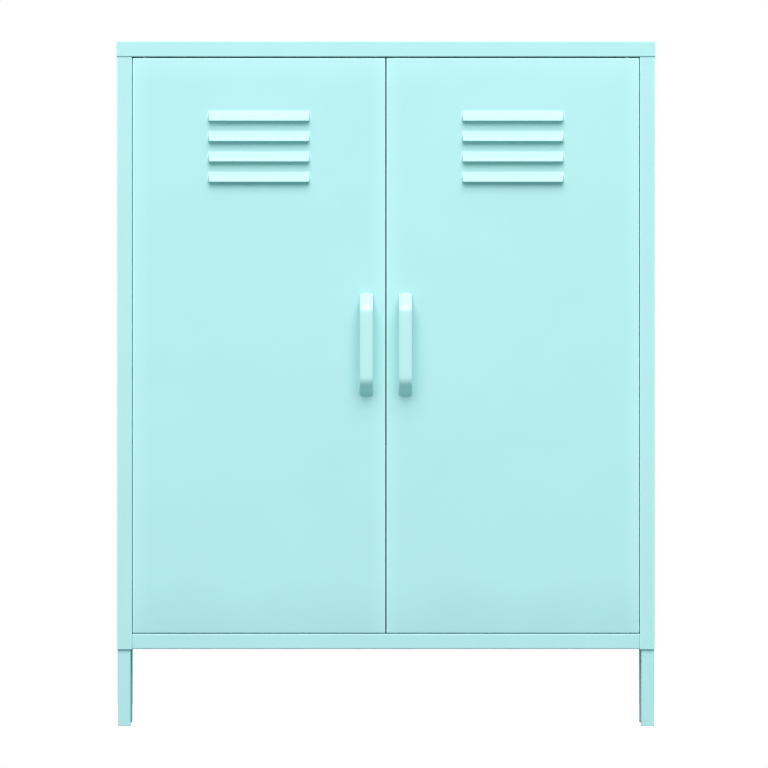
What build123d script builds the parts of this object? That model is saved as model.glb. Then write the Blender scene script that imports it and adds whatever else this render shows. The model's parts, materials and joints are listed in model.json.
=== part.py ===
from build123d import *
import math
import os

# A two-door steel locker cabinet on four square legs, in millimetres.
# +Z is up, the doors face -Y, and the origin is on the floor, under the middle of the whole
# object with its handles. Everything is folded from thin sheet, apart from the handles and legs.

# --- driving dimensions -------------------------------------------------------------------
WIDTH = 800.0
DEPTH = 400.0
HEIGHT = 1016.0
SHEET = 0.8
BEND = 1.6  # outside radius of a fold

LEG_HEIGHT = 114.0
LEG_SIZE = 19.5
LEG_WALL = 1.2
LEG_SIDE_INSET = 1.2  # from the outside of the side panel
LEG_FRONT_INSET = 3.0  # from the front or back face of the body

LID_SKIRT = 23.2
LID_SEAM = 0.5  # between the lid's skirt and the top of a stile
HEADER_DEPTH = 45.0
HEADER_UPTURN = 12.0
BACK_INSET = 2.0  # the back panel sits this far inside the lid

STILE_WIDTH = 22.5
STILE_RETURN = 18.0
FLANGE = 20.0
RAIL_HEIGHT = 22.8
RAIL_RETURN = 22.0
RAIL_LIFT = 0.4  # the rail's lower edge stands above the stiles' lower ends
PANEL_SEAM = 0.3
DECK_CLEAR = 6.0  # below the bottom panel's rear and side skirts

DOOR_DEPTH = 18.0
DOOR_LIP = 12.0
CENTRE_GAP = 1.7
SIDE_GAP = 0.95
TOP_GAP = 1.9
BOTTOM_GAP = 0.9

LOUVRE_COUNT = 4
LOUVRE_PITCH = 30.2
LOUVRE_WIDTH = 151.0
LOUVRE_HEIGHT = 15.5
LOUVRE_REACH = 9.0
LOUVRE_TAPER = 2.4  # how much each end slopes in towards the lip
LOUVRE_LIP = 1.6
LOUVRE_SHOULDER = 1.5
LOUVRE_TOP_LIP = 898.0  # height of the highest louvre's lower edge

HANDLE_LENGTH = 154.0
HANDLE_WIDTH = 19.8
HANDLE_REACH = 30.0
HANDLE_THICKNESS = 9.0
HANDLE_BEND = 18.0  # outside radius of the two bends
HANDLE_LEAN = math.radians(57)  # how far a leg turns away from the grip
HANDLE_FOOT = 20.0  # length of a leg where it meets the door
HANDLE_CROWN = 1.6
HANDLE_INNER_EDGE = 1.2
HANDLE_OUTER_EDGE = 1.8
HANDLE_MIDDLE = 565.5
HANDLE_FROM_CENTRE = 29.0

PIN_RADIUS = 3.0
PIN_HEAD_RADIUS = 4.8
PIN_HEAD = 3.0
PIN_FIT = 0.05  # radial clearance of a pin in its bush
PIN_FROM_EDGE = 18.0  # from the door's hinge edge
PIN_FROM_FACE = 6.0  # from the door's front face
PIN_REACH = 5.5  # past the door's top or bottom edge
PIN_CHAMFER = 0.8
BUSH_RADIUS = 3.8
BUSH_FLANGE_RADIUS = 4.6
BUSH_FLANGE = 0.6
BUSH_LENGTH = 4.0
HINGE_PLATE = 2.0
HINGE_PLATE_REACH = 17.0  # from the pin towards the middle of the door
HINGE_PLATE_GAP = 1.0  # from the door's hinge-side flange

SHELF_TOPS = {"lower_shelf": 418.0, "upper_shelf": 718.0}
SHELF_FLANGE = 20.0
SHELF_SIDE_FLANGE = 18.0
SHELF_LIP = 12.0
SHELF_HALF_WIDTH = 385.2
SHELF_FRONT_SETBACK = 42.0
SHELF_BACK_SETBACK = 15.0

UPRIGHT_DEPTH = 12.0
UPRIGHT_WIDTH = 26.0
UPRIGHT_FRONT_SETBACK = 60.0
UPRIGHT_BACK_SETBACK = 45.0
SLOT_PITCH = 50.0
SLOT_FIRST = 200.0
SLOT_COUNT = 16
SLOT_WIDTH = 4.0
SLOT_HEIGHT = 12.0

STRIP_WIDTH = 48.0
STRIP_RIB_WIDTH = 20.0
STRIP_RIB_DEPTH = 8.0

CATCH_WIDTH = 50.0
CATCH_DEPTH = 14.0
CATCH_HEIGHT = 12.0
CATCH_FROM_CENTRE = 37.0
CATCH_AIR_GAP = 0.3
CATCH_CORNER = 2.0
MAGNET_WIDTH = 24.0
MAGNET_DEPTH = 4.0
MAGNET_HEIGHT = 8.0
STRIKE = 1.0
STRIKE_WIDTH = 34.0
STRIKE_HEIGHT = 7.4
STRIKE_CORNER = 1.5

STUD_RADIUS = 4.0
NUT_FLATS = 13.0
NUT_HEIGHT = 6.5
BACKING_PLATE = 2.5
GLIDE_FOOT = 1.5
GLIDE_PLUG = 14.0
LOOSE = 0.1  # clearance of a piece that drops into another

LID_NUT = 7.0
LID_NUT_FLATS = 9.0
LID_SCREW_RADIUS = 2.5
LID_SCREW_INSET = 12.0
LID_SCREW_FROM_ENDS = 75.0
BACK_SCREW_RADIUS = 1.8
BACK_SCREW_INSET = 10.0
STRIP_SCREW_X = 17.0
BACK_SCREW_Z = (150.0, 360.0, 570.0, 780.0, 985.0)
CATCH_SCREW_RADIUS = 1.6
CATCH_SCREW_PITCH = 36.0
CATCH_SCREW_SETBACK = 8.7
HANDLE_SCREW_RADIUS = 2.0
HANDLE_SCREW_PITCH = 128.0
HANDLE_SCREW_HOLE = 11.0
# Length under the head, radius of the head and height of the head.
LID_SCREW = (7.0, 4.5, 2.6)
BACK_SCREW = (6.0, 3.6, 1.6)
CATCH_SCREW = (16.0, 3.2, 1.6)
HANDLE_SCREW = (10.0, 4.0, 2.2)

WALL_HOLE_RADIUS = 3.25
WALL_HOLE_SPACING = 600.0
WALL_HOLE_HEIGHT = 960.0

# --- planes and edges worked out from them ------------------------------------------------
HALF = WIDTH / 2
FRONT = (HANDLE_REACH - SHEET - DEPTH) / 2  # front face of the lid
BACK = FRONT + DEPTH  # back face of the lid
FACE = FRONT + SHEET  # front face of the stiles, rail and doors
BODY_HALF = HALF - SHEET  # outside of a side panel
PANEL_BACK = BACK - BACK_INSET  # outside of the back panel
SIDE_BACK = PANEL_BACK - SHEET  # back face of the side panels' flanges
STILE_EDGE = BODY_HALF - STILE_WIDTH
LID_BOTTOM = HEIGHT - LID_SKIRT
STILE_TOP = LID_BOTTOM - LID_SEAM
DECK = LEG_HEIGHT + RAIL_HEIGHT  # top face of the bottom panel
DOOR_BOTTOM = DECK + BOTTOM_GAP
DOOR_TOP = LID_BOTTOM - TOP_GAP
DOOR_INNER = CENTRE_GAP / 2
DOOR_OUTER = STILE_EDGE - SIDE_GAP
DOOR_MIDDLE = (DOOR_INNER + DOOR_OUTER) / 2
DOOR_REAR = FACE + DOOR_DEPTH
SKIN = FACE + SHEET  # inner face of the door's skin
PIN_X = DOOR_OUTER - PIN_FROM_EDGE
PIN_Y = FACE + PIN_FROM_FACE
LEG_X = BODY_HALF - LEG_SIDE_INSET - LEG_SIZE / 2
LEG_FRONT_Y = FACE + LEG_FRONT_INSET + LEG_SIZE / 2
LEG_BACK_Y = PANEL_BACK - LEG_FRONT_INSET - LEG_SIZE / 2
SIDE_TOP = HEIGHT - SHEET - LID_NUT  # leaves room for the weld nuts under the lid
UPRIGHT_FRONT_Y = FACE + UPRIGHT_FRONT_SETBACK
UPRIGHT_BACK_Y = PANEL_BACK - UPRIGHT_BACK_SETBACK - UPRIGHT_WIDTH
CATCH_FRONT = DOOR_REAR + STRIKE + CATCH_AIR_GAP
CATCH_BOTTOM = LID_BOTTOM - CATCH_HEIGHT
HANDLE_SCREW_Z = [HANDLE_MIDDLE + side * HANDLE_SCREW_PITCH / 2 for side in (1, -1)]
LID_SCREW_X = BODY_HALF - LID_SCREW_INSET
LID_SCREW_Y = (
    FACE + LID_SCREW_FROM_ENDS,
    (FACE + SIDE_BACK) / 2,
    SIDE_BACK - LID_SCREW_FROM_ENDS,
)
BACK_SCREW_X = BODY_HALF - BACK_SCREW_INSET


# --- general shapes -----------------------------------------------------------------------
def block(x_low, x_high, y_low, y_high, z_low, z_high):
    """A box between two corners."""
    centre = Pos((x_low + x_high) / 2, (y_low + y_high) / 2, (z_low + z_high) / 2)
    return centre * Box(x_high - x_low, y_high - y_low, z_high - z_low)


def rod(x, y, z_low, z_high, radius):
    """An upright cylinder."""
    return Pos(x, y, (z_low + z_high) / 2) * Cylinder(radius, z_high - z_low)


def cross_rod(x, z, y_low, y_high, radius):
    """A cylinder along Y."""
    return Pos(x, (y_low + y_high) / 2, z) * Rot(90, 0, 0) * Cylinder(radius, y_high - y_low)


def folded(points, bend=BEND):
    """A face of sheet thickness along a square-cornered path, to the left of its direction."""
    lefts = []
    for start, end in zip(points, points[1:]):
        run = Vector(*end) - Vector(*start)
        lefts.append(Vector(-run.Y, run.X) / run.length * SHEET)
    near_side = [Vector(*point) for point in points]
    shifts = [lefts[0]] + [one + two for one, two in zip(lefts, lefts[1:])] + [lefts[-1]]
    far_side = [point + shift for point, shift in zip(near_side, shifts)]
    outline = [(corner.X, corner.Y) for corner in near_side + far_side[::-1]]
    face = make_face(Polyline(*outline, close=True))
    for index in range(1, len(points) - 1):
        turns_left = lefts[index - 1].cross(lefts[index]).Z > 0
        outer, inner = near_side[index], far_side[index]
        if not turns_left:
            outer, inner = inner, outer
        for corner, radius in ((outer, bend), (inner, bend - SHEET)):
            vertex = face.vertices().sort_by_distance(corner)[0]
            face = fillet(vertex, radius)
    return face


def run_up(points, z_low, z_high, bend=BEND):
    """A folded section given in X and Y, extruded upwards."""
    return extrude(Plane.XY.offset(z_low) * folded(points, bend), z_high - z_low)


def run_across(points, x_low, x_high, bend=BEND):
    """A folded section given in Y and Z, extruded along X."""
    return extrude(Plane.YZ.offset(x_low) * folded(points, bend), x_high - x_low)


def run_back(points, y_low, y_high, bend=BEND):
    """A folded section given in X and Z, extruded along Y."""
    return extrude(Plane.XZ.offset(-y_high) * folded(points, bend), y_high - y_low)


def mirrored(shape):
    """The same shape on the other side of the cabinet."""
    return mirror(shape, about=Plane.YZ)


def both_sides(shapes):
    """A list of shapes and their mirror images."""
    return list(shapes) + [mirrored(shape) for shape in shapes]


# --- body ---------------------------------------------------------------------------------
def top_panel():
    lid = block(-HALF, HALF, FRONT, BACK, LID_BOTTOM, HEIGHT)
    edges = lid.edges().group_by(Axis.Z)[-1] + lid.edges().filter_by(Axis.Z)
    edges += lid.edges().group_by(Axis.Z)[0].sort_by(Axis.Y)[:1]
    lid = fillet(edges, BEND)
    cavity = block(
        -BODY_HALF, BODY_HALF, FACE, BACK - SHEET, LID_BOTTOM + SHEET, HEIGHT - SHEET
    )
    lid -= fillet(cavity.edges(), BEND - SHEET)
    header_back = FRONT + HEADER_DEPTH
    lid -= block(-BODY_HALF, BODY_HALF, header_back, BACK - SHEET, LID_BOTTOM, SIDE_TOP)
    side_slot = BODY_HALF - SHEET - PANEL_SEAM
    for slot in both_sides([block(side_slot, BODY_HALF, FACE, BACK - SHEET, LID_BOTTOM, SIDE_TOP)]):
        lid -= slot
    upturn_top = LID_BOTTOM + HEADER_UPTURN
    lid += block(-side_slot, side_slot, header_back - SHEET, header_back, LID_BOTTOM, upturn_top)
    for x in (PIN_X, -PIN_X):
        lid -= rod(x, PIN_Y, LID_BOTTOM - SHEET, LID_BOTTOM + 2 * SHEET, BUSH_RADIUS)
    for x, y in catch_screw_places():
        lid -= rod(x, y, LID_BOTTOM - SHEET, LID_BOTTOM + 2 * SHEET, CATCH_SCREW_RADIUS)
    return lid


def top_stiffener():
    """A channel welded under the lid from the header to the back."""
    half, depth, brim = 30.0, 12.0, 14.0
    high = HEIGHT - SHEET
    low = high - depth
    right = [(half + brim, high), (half, high), (half, low)]
    path = right + [(-x, z) for x, z in reversed(right)]
    return run_back(path, FRONT + HEADER_DEPTH, SIDE_BACK)


def side_panel():
    """The right side panel, with its stile in front and a flange round its other edges."""
    stile = [(STILE_EDGE, FACE + STILE_RETURN), (STILE_EDGE, FACE)]
    rest = [(BODY_HALF, FACE), (BODY_HALF, SIDE_BACK), (BODY_HALF - FLANGE, SIDE_BACK)]
    panel = run_up(stile + rest, LEG_HEIGHT, STILE_TOP)
    panel += run_up(rest, STILE_TOP, SIDE_TOP)
    inside = BODY_HALF - SHEET
    low_edge = STILE_EDGE + SHEET
    rear = SIDE_BACK - SHEET
    panel += block(low_edge, inside, FACE + SHEET, rear, LEG_HEIGHT, LEG_HEIGHT + SHEET)
    panel += block(inside - FLANGE, inside, FACE, rear, SIDE_TOP - SHEET, SIDE_TOP)
    for y in (LEG_FRONT_Y, LEG_BACK_Y):
        panel -= rod(LEG_X, y, LEG_HEIGHT - 1, LEG_HEIGHT + 2, STUD_RADIUS + 2 * LOOSE)
    for y in LID_SCREW_Y:
        panel -= rod(LID_SCREW_X, y, SIDE_TOP - 2, SIDE_TOP + 1, LID_SCREW_RADIUS)
    for z in BACK_SCREW_Z:
        panel -= cross_rod(BACK_SCREW_X, z, SIDE_BACK - 2, SIDE_BACK + 1, BACK_SCREW_RADIUS)
    return panel


def bottom_panel():
    """A deck with the rail folded down in front, reaching out behind the stiles."""
    rail_bottom = LEG_HEIGHT + RAIL_LIFT
    rear = SIDE_BACK - SHEET
    half = STILE_EDGE - PANEL_SEAM
    path = [
        (rear, LEG_HEIGHT + DECK_CLEAR),
        (rear, DECK),
        (FACE, DECK),
        (FACE, rail_bottom),
        (FACE + RAIL_RETURN, rail_bottom),
    ]
    panel = run_across(path, -half, half)
    wide = BODY_HALF - SHEET - PANEL_SEAM
    wing_front = FACE + STILE_RETURN + PANEL_SEAM
    wing = block(half, wide, wing_front, rear - BEND, DECK - SHEET, DECK)
    low = LEG_HEIGHT + DECK_CLEAR
    wing += block(wide - SHEET, wide, wing_front, rear - BEND, low, DECK)
    for shape in both_sides([wing]):
        panel += shape
    for x in (PIN_X, -PIN_X):
        panel -= rod(x, PIN_Y, DECK - 2 * SHEET, DECK + SHEET, BUSH_RADIUS)
    return panel


def back_panel():
    """The right half of the back."""
    panel = block(PANEL_SEAM / 2, BODY_HALF, SIDE_BACK, PANEL_BACK, LEG_HEIGHT, SIDE_TOP)
    wall_hole_x = WALL_HOLE_SPACING / 2
    panel -= cross_rod(
        wall_hole_x, WALL_HOLE_HEIGHT, SIDE_BACK - 1, PANEL_BACK + 1, WALL_HOLE_RADIUS
    )
    for x in (BACK_SCREW_X, STRIP_SCREW_X):
        for z in BACK_SCREW_Z:
            panel -= cross_rod(x, z, SIDE_BACK - 1, PANEL_BACK + 1, BACK_SCREW_RADIUS)
    return panel


def back_joining_strip():
    """A ribbed strip that ties the two halves of the back together."""
    rib = STRIP_RIB_WIDTH / 2
    rib_y = SIDE_BACK - STRIP_RIB_DEPTH
    right = [(STRIP_WIDTH / 2, SIDE_BACK), (rib, SIDE_BACK), (rib, rib_y)]
    path = right + [(-x, y) for x, y in reversed(right)]
    strip = run_up(path, DECK, LID_BOTTOM)
    for x in (STRIP_SCREW_X, -STRIP_SCREW_X):
        for z in BACK_SCREW_Z:
            strip -= cross_rod(x, z, SIDE_BACK - 2, SIDE_BACK + 1, BACK_SCREW_RADIUS)
    return strip


def upright(front):
    """A slotted channel on the right side panel whose front flange is at the given Y."""
    outer = BODY_HALF - SHEET
    inner = outer - UPRIGHT_DEPTH
    rear = front + UPRIGHT_WIDTH
    path = [(outer, rear), (inner, rear), (inner, front), (outer, front)]
    channel = run_up(path, DECK, LID_BOTTOM)
    middle = (front + rear) / 2
    for index in range(SLOT_COUNT):
        z = SLOT_FIRST + index * SLOT_PITCH
        channel -= block(
            inner - SHEET,
            inner + 2 * SHEET,
            middle - SLOT_WIDTH / 2,
            middle + SLOT_WIDTH / 2,
            z - SLOT_HEIGHT / 2,
            z + SLOT_HEIGHT / 2,
        )
    return channel


# --- shelves ------------------------------------------------------------------------------
def shelf(top):
    """A shelf folded down at the front, back and sides."""
    front = FACE + SHELF_FRONT_SETBACK
    rear = PANEL_BACK - SHELF_BACK_SETBACK
    low = top - SHELF_FLANGE
    path = [
        (rear - SHELF_LIP, low),
        (rear, low),
        (rear, top),
        (front, top),
        (front, low),
        (front + SHELF_LIP, low),
    ]
    plate = run_across(path, -SHELF_HALF_WIDTH, SHELF_HALF_WIDTH)
    flange = block(
        SHELF_HALF_WIDTH - SHEET,
        SHELF_HALF_WIDTH,
        front + BEND,
        rear - BEND,
        top - SHELF_SIDE_FLANGE,
        top - SHEET,
    )
    for side in both_sides([flange]):
        plate += side
    return plate


def shelf_clips(top):
    """Four hooked clips under one shelf."""
    face = BODY_HALF - SHEET - UPRIGHT_DEPTH
    tab_top = top - SHELF_SIDE_FLANGE
    plate, reach, half, rise = 1.0, 13.0, 7.0, 12.0
    clips = []
    for front in (UPRIGHT_FRONT_Y, UPRIGHT_BACK_Y):
        y = front + UPRIGHT_WIDTH / 2
        clip = block(face - reach, face, y - half, y + half, tab_top - plate, tab_top)
        clip += block(face - plate, face, y - half, y + half, tab_top - plate, tab_top + rise)
        hook_half = SLOT_WIDTH / 2 - LOOSE
        hook_high = tab_top + SLOT_HEIGHT / 2 - LOOSE
        clip += block(face, face + 3 * SHEET, y - hook_half, y + hook_half, tab_top, hook_high)
        clips.append(clip)
    return both_sides(clips)


# --- legs ---------------------------------------------------------------------------------
def square_rod(x, y, z_low, z_high, size, radius):
    """An upright square bar with rounded corners."""
    half = size / 2
    bar = block(x - half, x + half, y - half, y + half, z_low, z_high)
    return fillet(bar.edges().filter_by(Axis.Z), radius)


def leg(x, y):
    """A square tube with a plate and a threaded stud in its top end."""
    corner, cap, stud_top = 2.0, 3.0, 132.0
    tube = square_rod(x, y, GLIDE_FOOT, LEG_HEIGHT, LEG_SIZE, corner)
    bore = LEG_SIZE - 2 * LEG_WALL
    tube -= square_rod(x, y, 0, LEG_HEIGHT - cap, bore, corner - LEG_WALL)
    stud = rod(x, y, LEG_HEIGHT - cap, stud_top, STUD_RADIUS)
    return tube + chamfer(stud.edges().group_by(Axis.Z)[-1], PIN_CHAMFER)


def glide(x, y):
    """A plastic plug in the lower end of a leg."""
    corner = 2.0
    foot = square_rod(x, y, 0, GLIDE_FOOT, LEG_SIZE, corner)
    foot = chamfer(foot.edges().group_by(Axis.Z)[0], 0.5)
    plug = LEG_SIZE - 2 * LEG_WALL - 2 * LOOSE
    return foot + square_rod(x, y, GLIDE_FOOT, GLIDE_FOOT + GLIDE_PLUG, plug, corner - LEG_WALL)


def backing_plate(y):
    """A thick washer plate over the stud of a right-hand leg."""
    half_length, half_width = 30.0, 9.5
    toward_middle = half_length - LEG_SIZE / 2
    middle = y + toward_middle if y < 0 else y - toward_middle
    low = LEG_HEIGHT + SHEET
    plate = block(
        LEG_X - half_width,
        LEG_X + half_width,
        middle - half_length,
        middle + half_length,
        low,
        low + BACKING_PLATE,
    )
    return plate - rod(LEG_X, y, low - 1, low + BACKING_PLATE + 1, STUD_RADIUS + LOOSE)


def leg_nut(y):
    """The hexagon nut on the stud of a right-hand leg."""
    low = LEG_HEIGHT + SHEET + BACKING_PLATE
    outline = RegularPolygon(NUT_FLATS / 2, 6, major_radius=False)
    nut = extrude(Plane((LEG_X, y, low)) * outline, NUT_HEIGHT)
    return nut - rod(LEG_X, y, low - 1, low + NUT_HEIGHT + 1, STUD_RADIUS + LOOSE)


# --- fasteners ----------------------------------------------------------------------------
def screw(radius, length, head_radius, head):
    """A pan-head screw pointing up, its head's bearing face at the origin."""
    dome = Pos(0, 0, -head / 2) * Cylinder(head_radius, head)
    dome = fillet(dome.edges().group_by(Axis.Z)[0], head * 0.6)
    recess_depth = head * 0.5
    slot = Box(head_radius, head_radius * 0.25, recess_depth)
    cross = slot + Rot(0, 0, 90) * slot
    dome -= Pos(0, 0, -head + recess_depth / 2) * cross
    shank = Pos(0, 0, length / 2) * Cylinder(radius, length)
    shank = chamfer(shank.edges().group_by(Axis.Z)[-1], radius * 0.3)
    return dome + shank


def top_panel_screws():
    low = SIDE_TOP - SHEET
    one = screw(LID_SCREW_RADIUS - 2 * LOOSE, *LID_SCREW)
    return both_sides([Pos(LID_SCREW_X, y, low) * one for y in LID_SCREW_Y])


def top_panel_nuts():
    """Weld nuts under the lid, which stand on the side panels' top flanges."""
    high = HEIGHT - SHEET
    outline = RegularPolygon(LID_NUT_FLATS / 2, 6, major_radius=False)
    nuts = []
    for y in LID_SCREW_Y:
        nut = extrude(Plane((LID_SCREW_X, y, SIDE_TOP)) * outline, high - SIDE_TOP)
        nuts.append(nut - rod(LID_SCREW_X, y, SIDE_TOP - 1, high + 1, LID_SCREW_RADIUS))
    return both_sides(nuts)


def back_panel_screws():
    one = screw(BACK_SCREW_RADIUS - LOOSE, *BACK_SCREW)
    places = [(x, z) for x in (BACK_SCREW_X, STRIP_SCREW_X) for z in BACK_SCREW_Z]
    return both_sides([Pos(x, PANEL_BACK, z) * Rot(90, 0, 0) * one for x, z in places])


def catch_screw_places():
    """Where the screws of both catches go into the header."""
    y = CATCH_FRONT + CATCH_SCREW_SETBACK
    half = CATCH_SCREW_PITCH / 2
    return [(side * (CATCH_FROM_CENTRE + shift), y) for side in (1, -1) for shift in (half, -half)]


def catch_screws():
    one = screw(CATCH_SCREW_RADIUS - LOOSE, *CATCH_SCREW)
    return [Pos(x, y, CATCH_BOTTOM) * one for x, y in catch_screw_places()]


# --- catches ------------------------------------------------------------------------------
def magnet():
    """The right-hand catch's magnet, flush with the front of its housing."""
    half = MAGNET_WIDTH / 2
    middle = LID_BOTTOM - CATCH_HEIGHT / 2
    half_height = MAGNET_HEIGHT / 2
    return block(
        CATCH_FROM_CENTRE - half,
        CATCH_FROM_CENTRE + half,
        CATCH_FRONT,
        CATCH_FRONT + MAGNET_DEPTH,
        middle - half_height,
        middle + half_height,
    )


def catch_housing():
    """The right-hand catch's housing, screwed under the header."""
    half = CATCH_WIDTH / 2
    housing = block(
        CATCH_FROM_CENTRE - half,
        CATCH_FROM_CENTRE + half,
        CATCH_FRONT,
        CATCH_FRONT + CATCH_DEPTH,
        CATCH_BOTTOM,
        LID_BOTTOM,
    )
    housing = fillet(housing.edges().filter_by(Axis.Z), CATCH_CORNER)
    housing -= magnet()
    for x, y in catch_screw_places():
        housing -= rod(x, y, LID_BOTTOM - CATCH_HEIGHT - 1, LID_BOTTOM + 1, CATCH_SCREW_RADIUS)
    return housing


def strike_plate():
    """The steel plate on the right door's upper lip that the magnet holds."""
    half = STRIKE_WIDTH / 2
    high = DOOR_TOP - BEND
    plate = block(
        CATCH_FROM_CENTRE - half,
        CATCH_FROM_CENTRE + half,
        DOOR_REAR,
        DOOR_REAR + STRIKE,
        high - STRIKE_HEIGHT,
        high,
    )
    return fillet(plate.edges().filter_by(Axis.Y), STRIKE_CORNER)


# --- doors --------------------------------------------------------------------------------
def louvre_solid(lip, shrink):
    """The wedge of one louvre, made smaller on every side by shrink."""
    back_half = LOUVRE_WIDTH / 2 - shrink
    front_half = back_half - LOUVRE_TAPER
    reach = LOUVRE_REACH - shrink
    top = lip + LOUVRE_HEIGHT - 1.5 * shrink
    back_face = Plane(
        origin=(DOOR_MIDDLE, SKIN, (lip + top) / 2), x_dir=(1, 0, 0), z_dir=(0, -1, 0)
    )
    front_face = Plane(
        origin=(DOOR_MIDDLE, FACE - reach, lip + LOUVRE_LIP / 2), x_dir=(1, 0, 0), z_dir=(0, -1, 0)
    )
    back_outline = back_face * Rectangle(2 * back_half, top - lip)
    front_outline = front_face * Rectangle(2 * front_half, LOUVRE_LIP)
    return loft([back_outline, front_outline])


def louvre_hood(lip):
    """A pressed hood, open below, with soft shoulders."""
    hood = louvre_solid(lip, 0)
    front = hood.faces().sort_by(Axis.Y)[0].edges()
    shoulders = front.filter_by(Axis.X).sort_by(Axis.Z)[-1:] + front.filter_by(Axis.Z)
    return fillet(shoulders, LOUVRE_SHOULDER)


def door_panel():
    """The right door: a pan with folded edges, inner lips and pressed louvres."""
    pan = block(DOOR_INNER, DOOR_OUTER, FACE, DOOR_REAR, DOOR_BOTTOM, DOOR_TOP)
    front_edges = pan.edges().group_by(Axis.Y)[0]
    pan = fillet(front_edges + pan.edges().filter_by(Axis.Y), BEND)
    cavity = block(
        DOOR_INNER + SHEET,
        DOOR_OUTER - SHEET,
        SKIN,
        DOOR_REAR - SHEET,
        DOOR_BOTTOM + SHEET,
        DOOR_TOP - SHEET,
    )
    pan -= fillet(cavity.edges().group_by(Axis.Y)[0], BEND - SHEET)
    rim = SHEET + DOOR_LIP
    pan -= block(
        DOOR_INNER + rim,
        DOOR_OUTER - rim,
        DOOR_REAR - 2 * SHEET,
        DOOR_REAR + SHEET,
        DOOR_BOTTOM + rim,
        DOOR_TOP - rim,
    )
    for index in range(LOUVRE_COUNT):
        lip = LOUVRE_TOP_LIP - index * LOUVRE_PITCH
        pan += louvre_hood(lip)
        pan -= louvre_solid(lip, SHEET)
    for z in (DOOR_BOTTOM, DOOR_TOP):
        pan -= rod(PIN_X, PIN_Y, z - 2 * SHEET, z + 2 * SHEET, PIN_RADIUS + LOOSE)
    for z in HANDLE_SCREW_Z:
        pan -= cross_rod(HANDLE_FROM_CENTRE, z, FACE - 1, SKIN + 1, HANDLE_SCREW_RADIUS + LOOSE)
    return pan


def handle_section():
    """The bar's section: flat inside, crowned outside and rounded at its edges."""
    half = HANDLE_THICKNESS / 2
    side = HANDLE_WIDTH / 2
    shoulder = HANDLE_CROWN - half
    outline = [
        Line((side, shoulder), (side, half)),
        Line((side, half), (-side, half)),
        Line((-side, half), (-side, shoulder)),
        ThreePointArc((-side, shoulder), (0, -half), (side, shoulder)),
    ]
    section = make_face(outline)
    section = fillet(section.vertices().group_by(Axis.Y)[-1], HANDLE_INNER_EDGE)
    return fillet(section.vertices().group_by(Axis.Y)[0], HANDLE_OUTER_EDGE)


def handle_foot():
    """The swelling under the upper leg, from the door up to the bend."""
    end = HANDLE_MIDDLE + HANDLE_LENGTH / 2
    out = HANDLE_REACH - HANDLE_BEND * (1 - math.cos(HANDLE_LEAN))
    down = out / math.tan(HANDLE_LEAN)

    def under(depth):
        """The point this far under the outside of the leg where the bend starts."""
        y = FACE - out + depth * math.cos(HANDLE_LEAN)
        return (y, end - down - depth * math.sin(HANDLE_LEAN))

    half = HANDLE_THICKNESS / 2
    at_door = [(FACE, end - half / math.sin(HANDLE_LEAN)), (FACE, end - HANDLE_FOOT)]
    outline = Polyline(*at_door, under(HANDLE_THICKNESS), under(half), close=True)
    width = HANDLE_WIDTH - 2 * HANDLE_INNER_EDGE
    return extrude(Plane.YZ.offset(HANDLE_FROM_CENTRE - width / 2) * make_face(outline), width)


def handle():
    """The right door's bow handle: a crowned bar with two leaning legs, cut off at the door."""
    half = HANDLE_THICKNESS / 2
    x = HANDLE_FROM_CENTRE
    grip_y = FACE - HANDLE_REACH + half
    past_door = FACE + HANDLE_THICKNESS
    end = HANDLE_LENGTH / 2 - half / math.sin(HANDLE_LEAN)
    slope = 1 / math.tan(HANDLE_LEAN)
    outer = end + (past_door - FACE) * slope
    inner = end - (FACE - grip_y) * slope
    right = [(x, past_door, HANDLE_MIDDLE + outer), (x, grip_y, HANDLE_MIDDLE + inner)]
    corners = right + [(x, y, 2 * HANDLE_MIDDLE - z) for x, y, z in reversed(right)]
    route = FilletPolyline(*corners, radius=HANDLE_BEND - half)
    start = Plane(origin=route @ 0, x_dir=(1, 0, 0), z_dir=route % 0)
    bar = sweep(start * Rot(0, 0, 180) * handle_section(), path=route)
    side = HANDLE_WIDTH
    bar -= block(
        x - side, x + side, FACE, past_door + side, corners[-1][2] - side, corners[0][2] + side
    )
    foot = handle_foot()
    bar += foot
    bar += mirror(foot, about=Plane.XY.offset(HANDLE_MIDDLE))
    for z in HANDLE_SCREW_Z:
        bar -= cross_rod(x, z, FACE - HANDLE_SCREW_HOLE, FACE + 1, HANDLE_SCREW_RADIUS)
    return bar


def handle_screws():
    one = screw(HANDLE_SCREW_RADIUS, *HANDLE_SCREW)
    return [Pos(HANDLE_FROM_CENTRE, SKIN, z) * Rot(90, 0, 0) * one for z in HANDLE_SCREW_Z]


def door_stiffener():
    """A hat section welded behind the right door's skin, below the louvres."""
    half, depth, brim = 20.0, 12.0, 14.0
    low, high = DOOR_BOTTOM + 24.0, LOUVRE_TOP_LIP - LOUVRE_COUNT * LOUVRE_PITCH - 12.0
    left = [
        (DOOR_MIDDLE - half - brim, SKIN),
        (DOOR_MIDDLE - half, SKIN),
        (DOOR_MIDDLE - half, SKIN + depth),
    ]
    right = [(2 * DOOR_MIDDLE - x, y) for x, y in reversed(left)]
    return run_up(left + right, low, high)


def hinge_plates():
    """Thick plates welded inside the right door's top and bottom flanges."""
    near, far = PIN_X - HINGE_PLATE_REACH, DOOR_OUTER - SHEET - HINGE_PLATE_GAP
    front, rear = SKIN + BEND - SHEET, DOOR_REAR - SHEET
    plates = []
    for low in (DOOR_BOTTOM + SHEET, DOOR_TOP - SHEET - HINGE_PLATE):
        plate = block(near, far, front, rear, low, low + HINGE_PLATE)
        plates.append(plate - rod(PIN_X, PIN_Y, low - 1, low + HINGE_PLATE + 1, PIN_RADIUS))
    return plates


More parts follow.
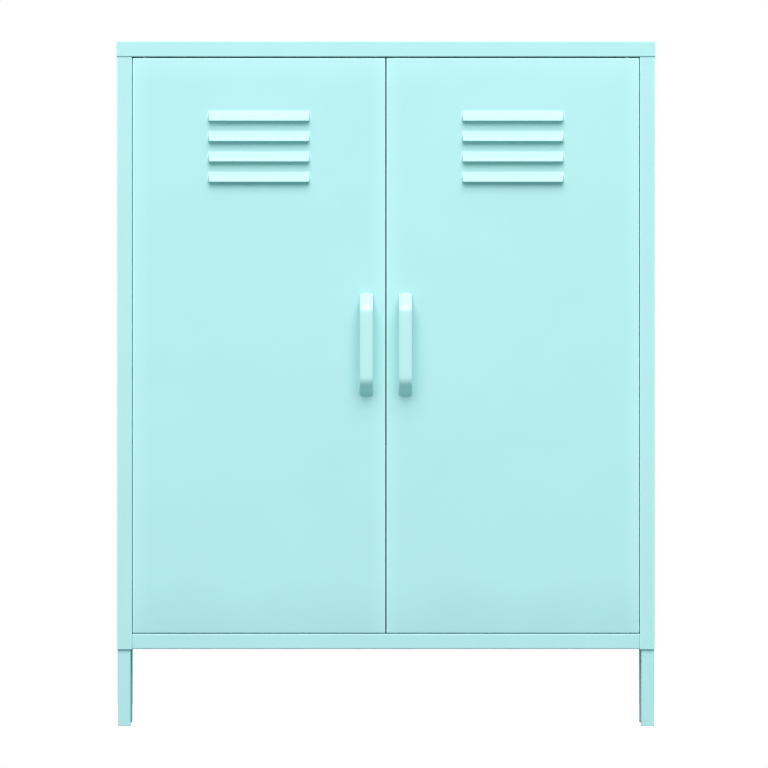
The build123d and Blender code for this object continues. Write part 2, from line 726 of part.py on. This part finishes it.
def upper_pin():
    """The right door's upper hinge pin, headed inside the door."""
    head_top = DOOR_TOP - SHEET - HINGE_PLATE
    shank = rod(PIN_X, PIN_Y, head_top, DOOR_TOP + PIN_REACH, PIN_RADIUS)
    shank = chamfer(shank.edges().group_by(Axis.Z)[-1], PIN_CHAMFER)
    return shank + rod(PIN_X, PIN_Y, head_top - PIN_HEAD, head_top, PIN_HEAD_RADIUS)


def lower_pin():
    """The right door's lower hinge pin, headed inside the door."""
    head_bottom = DOOR_BOTTOM + SHEET + HINGE_PLATE
    shank = rod(PIN_X, PIN_Y, DOOR_BOTTOM - PIN_REACH, head_bottom, PIN_RADIUS)
    shank = chamfer(shank.edges().group_by(Axis.Z)[0], PIN_CHAMFER)
    return shank + rod(PIN_X, PIN_Y, head_bottom, head_bottom + PIN_HEAD, PIN_HEAD_RADIUS)


def bush(seat, up):
    """A flanged bush at the right hinge: its flange lies on the seat, its sleeve in the sheet."""
    away = -BUSH_FLANGE * up
    sleeve_end = BUSH_LENGTH * up
    ends = sorted((seat, seat + away))
    piece = rod(PIN_X, PIN_Y, ends[0], ends[1], BUSH_FLANGE_RADIUS)
    ends = sorted((seat, seat + sleeve_end))
    piece += rod(PIN_X, PIN_Y, ends[0], ends[1], BUSH_RADIUS)
    return piece - rod(PIN_X, PIN_Y, seat - 10, seat + 10, PIN_RADIUS + PIN_FIT)


# --- the whole cabinet --------------------------------------------------------------------
def save(name, shape):
    """Write one node: a solid, or a list of separate solids."""
    if isinstance(shape, list):
        shape = Compound(children=[piece.solid() for piece in shape])
    export_step(shape, f"parts/{name}.step")


def save_pair(name, shape):
    """Write a right-hand node and its left-hand mirror image."""
    pieces = shape if isinstance(shape, list) else [shape]
    save(f"right_{name}", shape)
    left = [mirrored(piece) for piece in pieces]
    save(f"left_{name}", left if isinstance(shape, list) else left[0])


def main():
    os.makedirs("parts", exist_ok=True)
    save("top_panel", top_panel())
    save("top_stiffener", top_stiffener())
    save("bottom_panel", bottom_panel())
    save_pair("side_panel", side_panel())
    save_pair("back_panel", back_panel())
    save("back_joining_strip", back_joining_strip())
    save_pair("front_upright", upright(UPRIGHT_FRONT_Y))
    save_pair("rear_upright", upright(UPRIGHT_BACK_Y))
    for name, top in SHELF_TOPS.items():
        save(name, shelf(top))
        save(f"{name}_clips", shelf_clips(top))

    save_pair("front_leg", leg(LEG_X, LEG_FRONT_Y))
    save_pair("rear_leg", leg(LEG_X, LEG_BACK_Y))
    save_pair("front_glide", glide(LEG_X, LEG_FRONT_Y))
    save_pair("rear_glide", glide(LEG_X, LEG_BACK_Y))
    leg_rows = (LEG_FRONT_Y, LEG_BACK_Y)
    save("leg_backing_plates", both_sides([backing_plate(y) for y in leg_rows]))
    save("leg_nuts", both_sides([leg_nut(y) for y in leg_rows]))

    save("top_panel_screws", top_panel_screws())
    save("top_panel_nuts", top_panel_nuts())
    save("back_panel_screws", back_panel_screws())
    save_pair("catch_housing", catch_housing())
    save_pair("catch_magnet", magnet())
    save("catch_screws", catch_screws())
    save_pair("upper_bush", bush(LID_BOTTOM, 1))
    save_pair("lower_bush", bush(DECK, -1))

    save_pair("door_panel", door_panel())
    save_pair("door_stiffener", door_stiffener())
    save_pair("door_hinge_plates", hinge_plates())
    save_pair("door_upper_pin", upper_pin())
    save_pair("door_lower_pin", lower_pin())
    save_pair("door_strike_plate", strike_plate())
    save_pair("door_handle", handle())
    save_pair("door_handle_screws", handle_screws())


main()
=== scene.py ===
import json
import math

import bmesh
import bpy
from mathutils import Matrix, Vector


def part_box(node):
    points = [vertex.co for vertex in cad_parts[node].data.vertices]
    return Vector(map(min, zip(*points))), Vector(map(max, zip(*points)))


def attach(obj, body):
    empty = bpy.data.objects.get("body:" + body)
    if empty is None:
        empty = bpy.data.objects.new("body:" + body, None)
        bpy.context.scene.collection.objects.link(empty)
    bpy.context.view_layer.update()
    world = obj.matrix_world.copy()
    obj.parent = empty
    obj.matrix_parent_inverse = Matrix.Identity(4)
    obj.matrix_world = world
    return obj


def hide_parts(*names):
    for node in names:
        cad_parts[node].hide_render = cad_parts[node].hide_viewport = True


# A pale mint steel locker cabinet. The folded body, the shelves and all the fittings are the
# frame's own nodes with new materials; the door skins and the handles are made here.

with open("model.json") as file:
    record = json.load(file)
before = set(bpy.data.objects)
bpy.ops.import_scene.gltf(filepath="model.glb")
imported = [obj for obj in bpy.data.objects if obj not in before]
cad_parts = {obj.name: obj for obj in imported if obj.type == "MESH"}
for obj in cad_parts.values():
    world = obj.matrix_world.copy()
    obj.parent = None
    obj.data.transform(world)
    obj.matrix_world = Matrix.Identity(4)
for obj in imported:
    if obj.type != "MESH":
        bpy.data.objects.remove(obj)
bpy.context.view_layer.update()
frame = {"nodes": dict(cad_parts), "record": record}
nodes = frame["nodes"]

# --- sizes, in metres ---------------------------------------------------------------------
SHEET = 0.0008
FOLD = 0.0016  # outside radius of a fold in the door
FOLD_STEPS = 5
DOOR_LIP = 0.012

LOUVRE_COUNT = 4
LOUVRE_PITCH = 0.0302
LOUVRE_HEIGHT = 0.0160
LOUVRE_WIDTH = 0.1515
LOUVRE_REACH = 0.0088
LOUVRE_END = 0.0022  # length of the soft slope at each end of a louvre
LOUVRE_BELOW_TOP = 0.0929  # from the door's top edge to the highest louvre's lip
LOUVRE_ROWS = 12
LOUVRE_END_COLUMNS = 8
GUARD = 0.0015  # a narrow flat strip round each louvre that keeps the shading beside it even

HANDLE_CROWN = 0.0016
HANDLE_CROWN_SHARE = 0.95  # how much of the crown's height the curve between the edges falls by
HANDLE_INNER_EDGE = 0.0012  # the section's edge radii, next to the door and outside
HANDLE_OUTER_EDGE = 0.0018
HANDLE_THICKNESS = 0.009
HANDLE_BEND = 0.018  # outside radius of the bend between the grip and a leg
HANDLE_LEAN = math.radians(57)  # how far a leg turns away from the grip
HANDLE_BEND_STEPS = 14
HANDLE_STRAIGHT_STEPS = 6
HANDLE_FOOT = 0.020  # length of each foot where it meets the door

SMOOTH_ANGLE = math.radians(35)  # edges sharper than this stay sharp
MERGE_DISTANCE = 1e-6

CAMERA_DISTANCE = 50.0
CAMERA_HEIGHT = 0.707
CAMERA_X = -0.0028
VIEW_CENTRE_Z = 0.5074
VIEW_WIDTH = 1.1392

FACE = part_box("right_side_panel")[0].y


# --- materials ----------------------------------------------------------------------------
MINT = (0.470, 0.830, 0.835)
# painted light: the handle's paint is a lighter copy of the door's mint, standing in for the
# extra light its grip and top catch
LIT_HANDLE_MINT = (0.530, 0.880, 0.885)
# painted highlight: the paler colour laid over folds in place of the light that they catch
FOLD_HIGHLIGHT_COLOUR = (0.60, 1.0, 1.0)
FOLD_TILTS = (0.03, 0.20, 0.75, 0.93)  # where the painted highlight on a fold begins, is full, and ends
ZINC_TONES = (0.52, 0.54, 0.56), (0.68, 0.69, 0.70)
FERRITE_TONES = (0.015, 0.015, 0.017), (0.05, 0.05, 0.055)


def new_material(name):
    """A node material with its node tree and its shader."""
    material = bpy.data.materials.new(name)
    material.use_nodes = True
    tree = material.node_tree
    shader = tree.nodes["Principled BSDF"]
    return material, tree, shader


def add(tree, kind, **values):
    """A new node with its inputs or properties set by name."""
    node = tree.nodes.new(kind)
    for key, value in values.items():
        if key in node.inputs:
            node.inputs[key].default_value = value
        else:
            setattr(node, key.lower().replace(" ", "_"), value)
    return node


def noise(tree, coordinates, scale, detail=2.0, roughness=0.5):
    """A noise value at the given coordinates."""
    node = add(tree, "ShaderNodeTexNoise", Scale=scale, Detail=detail, Roughness=roughness)
    tree.links.new(coordinates, node.inputs["Vector"])
    return node.outputs["Fac"]


def spread(tree, value, low, high):
    """Maps a noise value from about 0.3..0.7 to low..high."""
    node = add(tree, "ShaderNodeMapRange")
    node.inputs["From Min"].default_value = 0.3
    node.inputs["From Max"].default_value = 0.7
    node.inputs["To Min"].default_value = low
    node.inputs["To Max"].default_value = high
    tree.links.new(value, node.inputs["Value"])
    return node.outputs["Result"]


def tint(tree, factor, dark, light):
    """A colour between two, by a factor."""
    node = add(tree, "ShaderNodeMixRGB")
    node.inputs["Color1"].default_value = (*dark, 1)
    node.inputs["Color2"].default_value = (*light, 1)
    tree.links.new(factor, node.inputs["Fac"])
    return node.outputs["Color"]


def fold_highlight_mask(tree):
    """Where the painted highlight goes: 1 on folds that turn towards either side, 0 on the flat
    faces that they join.
    """
    normal = add(tree, "ShaderNodeTexCoord").outputs["Normal"]
    parts = add(tree, "ShaderNodeSeparateXYZ")
    tree.links.new(normal, parts.inputs[0])
    tilt = add(tree, "ShaderNodeMath", operation="ABSOLUTE")
    tree.links.new(parts.outputs["X"], tilt.inputs[0])
    curve = add(tree, "ShaderNodeValToRGB")
    ramp = curve.color_ramp
    ramp.elements[0].position = FOLD_TILTS[0]
    ramp.elements[1].position = FOLD_TILTS[3]
    for position in FOLD_TILTS[1:3]:
        ramp.elements.new(position).color = (1, 1, 1, 1)
    for end in (ramp.elements[0], ramp.elements[3]):
        end.color = (0, 0, 0, 1)
    tree.links.new(tilt.outputs[0], curve.inputs[0])
    return curve.outputs[0]


def bump(tree, shader, heights):
    """Chains bumps given as (height, strength, distance)."""
    normal = None
    for height, strength, distance in heights:
        node = add(tree, "ShaderNodeBump", Strength=strength, Distance=distance)
        tree.links.new(height, node.inputs["Height"])
        if normal:
            tree.links.new(normal, node.inputs["Normal"])
        normal = node.outputs["Normal"]
    tree.links.new(normal, shader.inputs["Normal"])


def powder_coat(name, colour, roughness=0.42, gloss_level=0.5, fold_highlight=False):
    """Satin powder coat: fine orange peel, faint mottling and slightly uneven gloss. On sheet
    with folds it
    can carry a painted highlight: a paler colour over the folds in place of the light that they
    catch."""
    material, tree, shader = new_material(name)
    place = add(tree, "ShaderNodeTexCoord").outputs["Object"]
    cloud = spread(tree, noise(tree, place, 9.0, 3.0), 0.0, 1.0)
    dark = tuple(0.985 * channel for channel in colour)
    light = tuple(min(1.0, 1.012 * channel) for channel in colour)
    coat = tint(tree, cloud, dark, light)
    # painted highlight: the folds get a paler colour that stands in for the light they catch
    if fold_highlight:
        painted_highlight = add(tree, "ShaderNodeMixRGB")
        tree.links.new(fold_highlight_mask(tree), painted_highlight.inputs["Fac"])
        tree.links.new(coat, painted_highlight.inputs["Color1"])
        painted_highlight.inputs["Color2"].default_value = (*FOLD_HIGHLIGHT_COLOUR, 1)
        coat = painted_highlight.outputs["Color"]
    tree.links.new(coat, shader.inputs["Base Color"])
    gloss = spread(tree, noise(tree, place, 60.0, 4.0), roughness - 0.05, roughness + 0.05)
    tree.links.new(gloss, shader.inputs["Roughness"])
    peel = noise(tree, place, 900.0, 2.0, 0.55)
    grain = noise(tree, place, 3200.0, 1.0)
    bump(tree, shader, [(peel, 0.22, 0.00012), (grain, 0.10, 0.00004)])
    shader.inputs["Specular IOR Level"].default_value = gloss_level
    return material


def zinc(name):
    """Bright zinc plate with a fine cloudy grain."""
    material, tree, shader = new_material(name)
    place = add(tree, "ShaderNodeTexCoord").outputs["Object"]
    cloud = spread(tree, noise(tree, place, 180.0, 5.0, 0.6), 0.0, 1.0)
    tree.links.new(tint(tree, cloud, *ZINC_TONES), shader.inputs["Base Color"])
    gloss = spread(tree, noise(tree, place, 420.0, 3.0), 0.24, 0.42)
    tree.links.new(gloss, shader.inputs["Roughness"])
    scratch = noise(tree, place, 2600.0, 3.0, 0.7)
    bump(tree, shader, [(scratch, 0.2, 0.00003)])
    shader.inputs["Metallic"].default_value = 1.0
    return material


def moulded(name, colour, roughness):
    """Moulded plastic with a fine spark-eroded texture."""
    material, tree, shader = new_material(name)
    place = add(tree, "ShaderNodeTexCoord").outputs["Object"]
    cloud = spread(tree, noise(tree, place, 45.0, 3.0), 0.0, 1.0)
    dark = tuple(0.96 * channel for channel in colour)
    tree.links.new(tint(tree, cloud, dark, colour), shader.inputs["Base Color"])
    gloss = spread(tree, noise(tree, place, 300.0, 3.0), roughness - 0.06, roughness + 0.06)
    tree.links.new(gloss, shader.inputs["Roughness"])
    skin = noise(tree, place, 1800.0, 2.0, 0.6)
    bump(tree, shader, [(skin, 0.3, 0.00006)])
    return material


def ferrite(name):
    """Sintered ferrite: dark, matt and slightly pitted."""
    material, tree, shader = new_material(name)
    place = add(tree, "ShaderNodeTexCoord").outputs["Object"]
    cloud = spread(tree, noise(tree, place, 500.0, 5.0, 0.7), 0.0, 1.0)
    tree.links.new(tint(tree, cloud, *FERRITE_TONES), shader.inputs["Base Color"])
    tree.links.new(spread(tree, cloud, 0.55, 0.8), shader.inputs["Roughness"])
    bump(tree, shader, [(noise(tree, place, 1500.0, 4.0, 0.7), 0.4, 0.0001)])
    return material


paint = {
    # the body and door paints carry the painted highlight on their folds
    "body_paint": powder_coat("body_powder_coat", MINT, fold_highlight=True),
    "door_paint": powder_coat("door_powder_coat", MINT, fold_highlight=True),
    # the handle gets the lighter, painted-light copy of the mint
    "handle_paint": powder_coat("handle_powder_coat", LIT_HANDLE_MINT, 0.34, gloss_level=0.9),
    "leg_paint": powder_coat("leg_powder_coat", MINT),
    "zinc_steel": zinc("zinc_plate"),
    "dark_nylon": moulded("dark_nylon", (0.035, 0.038, 0.040), 0.45),
    "catch_plastic": moulded("catch_plastic", (0.66, 0.69, 0.68), 0.40),
    "glide_plastic": moulded("mint_glide_plastic", (0.42, 0.74, 0.745), 0.50),
    "magnet": ferrite("ferrite"),
}
slots = {part["node"]: part["material_slot"] for part in frame["record"]["subparts"]}
for name, node in nodes.items():
    node.data.materials.clear()
    node.data.materials.append(paint[slots[name]])


# --- making meshes ------------------------------------------------------------------------
def finished(name, mesh_data, slot_name, body, replaced, thickness=0.0):
    """Turns a bmesh into a smooth-shaded piece that rides on a body for a CAD node.
    A surface is given its sheet thickness, inwards, first."""
    mesh = bpy.data.meshes.new(name)
    mesh_data.to_mesh(mesh)
    mesh_data.free()
    mesh.materials.append(paint[slot_name])
    piece = bpy.data.objects.new(name, mesh)
    bpy.context.scene.collection.objects.link(piece)
    if thickness:
        solid = piece.modifiers.new("sheet", "SOLIDIFY")
        solid.thickness = thickness
        solid.offset = -1.0
        evaluated = piece.evaluated_get(bpy.context.evaluated_depsgraph_get())
        thick = bpy.data.meshes.new_from_object(evaluated)
        piece.modifiers.clear()
        piece.data = thick
        bpy.data.meshes.remove(mesh)
        mesh = thick
        mesh.name = name
    mesh.shade_smooth()
    mesh.set_sharp_from_angle(angle=SMOOTH_ANGLE)
    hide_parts(replaced)
    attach(piece, body)
    return piece


def eased(t):
    """0 to 1 with soft ends and a straight middle."""
    t = min(1.0, max(0.0, t))
    soft = 0.3
    if t < soft:
        rise = t * t / (2 * soft)
    elif t > 1 - soft:
        rise = 1 - soft - (1 - t) ** 2 / (2 * soft)
    else:
        rise = t - soft / 2
    return rise / (1 - soft)


def louvre_height(x, z, middle, lips):
    """How far the skin is pressed out at x, z: a slope up from each louvre's top to its lip."""
    along = (LOUVRE_WIDTH / 2 - abs(x - middle)) / LOUVRE_END
    for lip in lips:
        t = (z - lip) / LOUVRE_HEIGHT
        if 0.0 <= t < 1.0:
            return LOUVRE_REACH * eased(along) * eased(1.0 - t)
    return 0.0


def steps(low, high, count):
    """Evenly spaced values from low to high, both included."""
    return [low + (high - low) * index / count for index in range(count + 1)]


def door_skin(side):
    """A door pan of folded sheet, with lanced louvres pressed out of its face."""
    low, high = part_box(f"{side}_door_panel")
    rear = high.y
    middle = (low.x + high.x) / 2
    lips = [high.z - LOUVRE_BELOW_TOP - index * LOUVRE_PITCH for index in range(LOUVRE_COUNT)]
    half = LOUVRE_WIDTH / 2
    columns = steps(low.x + FOLD, middle - half - GUARD, 3) + [middle - half]
    columns += steps(middle - half, middle - half + LOUVRE_END, LOUVRE_END_COLUMNS)[1:]
    columns += steps(middle - half + LOUVRE_END + GUARD, middle + half - LOUVRE_END - GUARD, 6)
    columns += steps(middle + half - LOUVRE_END, middle + half, LOUVRE_END_COLUMNS)
    columns += steps(middle + half + GUARD, high.x - FOLD, 3)
    rows = steps(low.z + FOLD, lips[-1] - GUARD, 8) + [lips[-1]]
    for lip in reversed(lips):
        rows += steps(lip, lip + LOUVRE_HEIGHT, LOUVRE_ROWS)[1:]
        above = lip + LOUVRE_PITCH if lip != lips[0] else high.z - FOLD
        rows += steps(lip + LOUVRE_HEIGHT + GUARD, above, 2)

    made = bmesh.new()
    upper, lower = {}, {}
    for i, x in enumerate(columns):
        for j, z in enumerate(rows):
            pressed = louvre_height(x, z, middle, lips)
            upper[i, j] = made.verts.new((x, FACE - pressed, z))
            at_lip = any(abs(z - lip) < MERGE_DISTANCE for lip in lips)
            lower[i, j] = made.verts.new((x, FACE, z)) if at_lip and pressed > 0 else upper[i, j]
    for i in range(len(columns) - 1):
        for j in range(len(rows) - 1):
            made.faces.new((upper[i, j], upper[i + 1, j], lower[i + 1, j + 1], lower[i, j + 1]))

    rings = []
    for step in range(FOLD_STEPS + 1):
        angle = math.pi / 2 * step / FOLD_STEPS
        rings.append((FOLD * (1 - math.sin(angle)), FACE + FOLD * (1 - math.cos(angle))))
    for step in range(FOLD_STEPS + 1):
        angle = math.pi / 2 * step / FOLD_STEPS
        rings.append((FOLD * (1 - math.cos(angle)), rear - FOLD * (1 - math.sin(angle))))
    rings.append((DOOR_LIP, rear))

    def ring(inset, y):
        """The points of a rounded rectangle that lies inset from the door's outline."""
        radius = max(FOLD - inset, 0.0)
        edge = inset + radius
        left, right = low.x + edge, high.x - edge
        bottom, top = low.z + edge, high.z - edge
        across = [min(max(x, left), right) for x in columns]
        upward = [min(max(z, bottom), top) for z in rows]
        path = [(x, low.z + inset) for x in across]
        path += corner(right, bottom, radius, -90)
        path += [(high.x - inset, z) for z in upward]
        path += corner(right, top, radius, 0)
        path += [(x, high.z - inset) for x in reversed(across)]
        path += corner(left, top, radius, 90)
        path += [(low.x + inset, z) for z in reversed(upward)]
        path += corner(left, bottom, radius, 180)
        return [made.verts.new((x, y, z)) for x, z in path]

    def corner(x, z, radius, start):
        """Points between the two straights that a round corner joins."""
        points = []
        for step in range(1, FOLD_STEPS):
            angle = math.radians(start + 90 * step / FOLD_STEPS)
            points.append((x + radius * math.cos(angle), z + radius * math.sin(angle)))
        return points

    loops = [ring(inset, y) for inset, y in rings]
    for near, far in zip(loops, loops[1:]):
        for index in range(len(near)):
            after = (index + 1) % len(near)
            made.faces.new((near[index], far[index], far[after], near[after]))
    bmesh.ops.remove_doubles(made, verts=made.verts, dist=MERGE_DISTANCE)
    bmesh.ops.dissolve_degenerate(made, dist=MERGE_DISTANCE / 10, edges=made.edges)
    bmesh.ops.recalc_face_normals(made, faces=made.faces)

    return finished(
        f"{side}_door_skin", made, "door_paint", f"{side}_door", f"{side}_door_panel", SHEET
    )


def handle_section():
    """The bar's section as (across, outward) points: crowned outside, rounded at its edges."""
    low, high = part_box("right_door_handle")
    half = (high.x - low.x) / 2
    thick = HANDLE_THICKNESS / 2
    inner, outer = HANDLE_INNER_EDGE, HANDLE_OUTER_EDGE
    points = []

    def arc(x, y, radius, start, end, count):
        for step in range(count + 1):
            angle = math.radians(start + (end - start) * step / count)
            points.append((x + radius * math.cos(angle), y + radius * math.sin(angle)))

    arc(half - inner, -thick + inner, inner, -90, 0, 5)
    shoulder = thick - HANDLE_CROWN
    arc(half - outer, shoulder - outer, outer, 0, 72, 7)
    for step in range(1, 10):
        t = 1 - 2 * step / 10
        x = (half - outer) * t
        points.append((x, thick - HANDLE_CROWN * HANDLE_CROWN_SHARE * t * t))
    arc(-half + outer, shoulder - outer, outer, 108, 180, 7)
    arc(-half + inner, -thick + inner, inner, 180, 270, 5)
    return points


def handle_route(low, high):
    """Stations along the bar as (y, z, outward y, outward z, thickness): the outer line and how
    thick the bar is below it. The legs lean in and grow thicker towards their feet."""
    reach = high.y - low.y
    turn_out = HANDLE_BEND * (1 - math.cos(HANDLE_LEAN))
    leg_out = reach - turn_out
    leg_up = leg_out / math.tan(HANDLE_LEAN)
    turn = leg_up + HANDLE_BEND * math.sin(HANDLE_LEAN)  # from a foot's end to the straight grip
    inner = HANDLE_FOOT * math.sin(HANDLE_LEAN)
    leg = []
    for step in range(HANDLE_STRAIGHT_STEPS):
        t = step / HANDLE_STRAIGHT_STEPS
        thickness = inner + (HANDLE_THICKNESS - inner) * t
        leg.append((leg_out * t, leg_up * t, HANDLE_LEAN, thickness))
    for step in range(HANDLE_BEND_STEPS + 1):
        lean = HANDLE_LEAN * (1 - step / HANDLE_BEND_STEPS)
        out = reach - HANDLE_BEND * (1 - math.cos(lean))
        leg.append((out, turn - HANDLE_BEND * math.sin(lean), lean, HANDLE_THICKNESS))
    route = [
        (high.y - out, low.z + up, -math.cos(lean), -math.sin(lean), thickness)
        for out, up, lean, thickness in leg
    ]
    span = high.z - low.z - 2 * turn
    for step in range(1, HANDLE_STRAIGHT_STEPS):
        z = low.z + turn + span * step / HANDLE_STRAIGHT_STEPS
        route.append((low.y, z, -1.0, 0.0, HANDLE_THICKNESS))
    route += [
        (high.y - out, high.z - up, -math.cos(lean), math.sin(lean), thickness)
        for out, up, lean, thickness in reversed(leg)
    ]
    return route


def handle(side):
    """A bow handle: the crowned section swept down its legs and grip, cut off at the door."""
    low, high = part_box(f"{side}_door_handle")
    middle = (low.x + high.x) / 2
    section = handle_section()
    made = bmesh.new()
    loops = []
    for y, z, out_y, out_z, thickness in handle_route(low, high):
        loop = []
        for across, height in section:
            depth = height - HANDLE_THICKNESS / 2
            if height < 0:
                depth -= thickness - HANDLE_THICKNESS
            loop.append(Vector((middle + across, y + out_y * depth, z + out_z * depth)))
        loops.append(loop)
    for foot, next_loop in ((loops[0], loops[1]), (loops[-1], loops[-2])):
        for index, point in enumerate(foot):
            along = next_loop[index] - point
            foot[index] = point + along * ((high.y - point.y) / along.y)
    rings = [[made.verts.new(point) for point in loop] for loop in loops]
    count = len(section)
    for near, far in zip(rings, rings[1:]):
        for index in range(count):
            after = (index + 1) % count
            made.faces.new((near[index], near[after], far[after], far[index]))
    made.faces.new(rings[0])
    made.faces.new(list(reversed(rings[-1])))
    bmesh.ops.recalc_face_normals(made, faces=made.faces)
    return finished(
        f"{side}_bow_handle", made, "handle_paint", f"{side}_door", f"{side}_door_handle"
    )


for side in ("left", "right"):
    door_skin(side)
    handle(side)


# --- floor, light and camera --------------------------------------------------------------
KEY_COLOUR = (1.0, 0.82, 0.82)
WHITE = (1.0, 1.0, 1.0)
FILL_COLOUR = (0.40, 0.56, 0.56, 1)
BOUNCE_COLOUR = (0.14, 0.21, 0.21, 1)
FLOOR_HALF_WIDTH = 2.2
FLOOR_GLOW = 0.90
# name, place, target, width, height, watts, colour, seen in reflections. The side and back lights
# are hidden from reflections, or the top face mirrors them at low angles and turns white.
LIGHTS = [
    ("key", (0, -9.9, 11.4), (0, FACE, 0.6), 14.0, 10.5, 2560, KEY_COLOUR, True),
    ("overhead", (0, 0.5, 9.0), (0, 0, 0.6), 6.0, 6.0, 130, WHITE, True),
    ("rim", (-6, 3.0, 3.0), (0, 0, 0.5), 3.0, 4.0, 190, WHITE, False),
    ("rim", (6, 3.0, 3.0), (0, 0, 0.5), 3.0, 4.0, 190, WHITE, False),
    ("back", (0, 7.0, 3.0), (0, 0, 0.5), 5.0, 4.0, 220, WHITE, False),
]


def stage_floor():
    """A pale studio floor."""
    half = FLOOR_HALF_WIDTH
    mesh = bpy.data.meshes.new("studio_floor")
    corners = [(-half, -half, 0), (half, -half, 0), (half, half, 0), (-half, half, 0)]
    mesh.from_pydata(corners, [], [(0, 1, 2, 3)])
    floor = bpy.data.objects.new("studio_floor", mesh)
    bpy.context.scene.collection.objects.link(floor)
    mesh.materials.append(lit_floor())


def lit_floor():
    """A white floor that glows to the camera, but is dim to the light that reaches the object."""
    material, tree, shader = new_material("lit_white_floor")
    shader.inputs["Base Color"].default_value = (0.55, 0.55, 0.55, 1)
    shader.inputs["Roughness"].default_value = 0.9
    shader.inputs["Emission Color"].default_value = (1, 1, 1, 1)
    shader.inputs["Emission Strength"].default_value = FLOOR_GLOW
    dim = add(tree, "ShaderNodeBsdfDiffuse", Color=BOUNCE_COLOUR)
    path = add(tree, "ShaderNodeLightPath")
    mix = add(tree, "ShaderNodeMixShader")
    tree.links.new(path.outputs["Is Camera Ray"], mix.inputs[0])
    tree.links.new(dim.outputs[0], mix.inputs[1])
    tree.links.new(shader.outputs[0], mix.inputs[2])
    tree.links.new(mix.outputs[0], tree.nodes["Material Output"].inputs["Surface"])
    return material


def area_light(name, place, target, width, height, power, colour, reflected):
    """A rectangular lamp at a place, turned to face a target."""
    data = bpy.data.lights.new(name, "AREA")
    data.color = colour
    data.shape = "RECTANGLE"
    data.size = width
    data.size_y = height
    data.energy = power
    light = bpy.data.objects.new(name, data)
    bpy.context.scene.collection.objects.link(light)
    light.location = place
    direction = Vector(target) - Vector(place)
    light.rotation_euler = direction.to_track_quat("-Z", "Y").to_euler()
    light.visible_glossy = reflected


def studio_world():
    """White where the camera sees it, and a dimmer even light on the object all round."""
    world = bpy.data.worlds.new("studio")
    bpy.context.scene.world = world
    world.use_nodes = True
    tree = world.node_tree
    tree.nodes.clear()
    seen = add(tree, "ShaderNodeBackground", Color=(1, 1, 1, 1), Strength=1.0)
    fill = add(tree, "ShaderNodeBackground", Color=FILL_COLOUR, Strength=1.0)
    path = add(tree, "ShaderNodeLightPath")
    mix = add(tree, "ShaderNodeMixShader")
    out = add(tree, "ShaderNodeOutputWorld")
    tree.links.new(path.outputs["Is Camera Ray"], mix.inputs[0])
    tree.links.new(fill.outputs[0], mix.inputs[1])
    tree.links.new(seen.outputs[0], mix.inputs[2])
    tree.links.new(mix.outputs[0], out.inputs[0])


def camera():
    """A long lens straight in front, a little above the middle, as in the photograph."""
    data = bpy.data.cameras.new("camera")
    data.sensor_width = 36.0
    data.lens = data.sensor_width * CAMERA_DISTANCE / VIEW_WIDTH
    data.clip_end = 2 * CAMERA_DISTANCE
    eye = bpy.data.objects.new("camera", data)
    bpy.context.scene.collection.objects.link(eye)
    eye.location = (CAMERA_X, FACE - CAMERA_DISTANCE, CAMERA_HEIGHT)
    aim = Vector((CAMERA_X, FACE, VIEW_CENTRE_Z)) - eye.location
    eye.rotation_euler = aim.to_track_quat("-Z", "Y").to_euler()
    bpy.context.scene.camera = eye


stage_floor()
for light in LIGHTS:
    area_light(*light)
studio_world()
camera()
bpy.context.scene.view_settings.view_transform = "Standard"
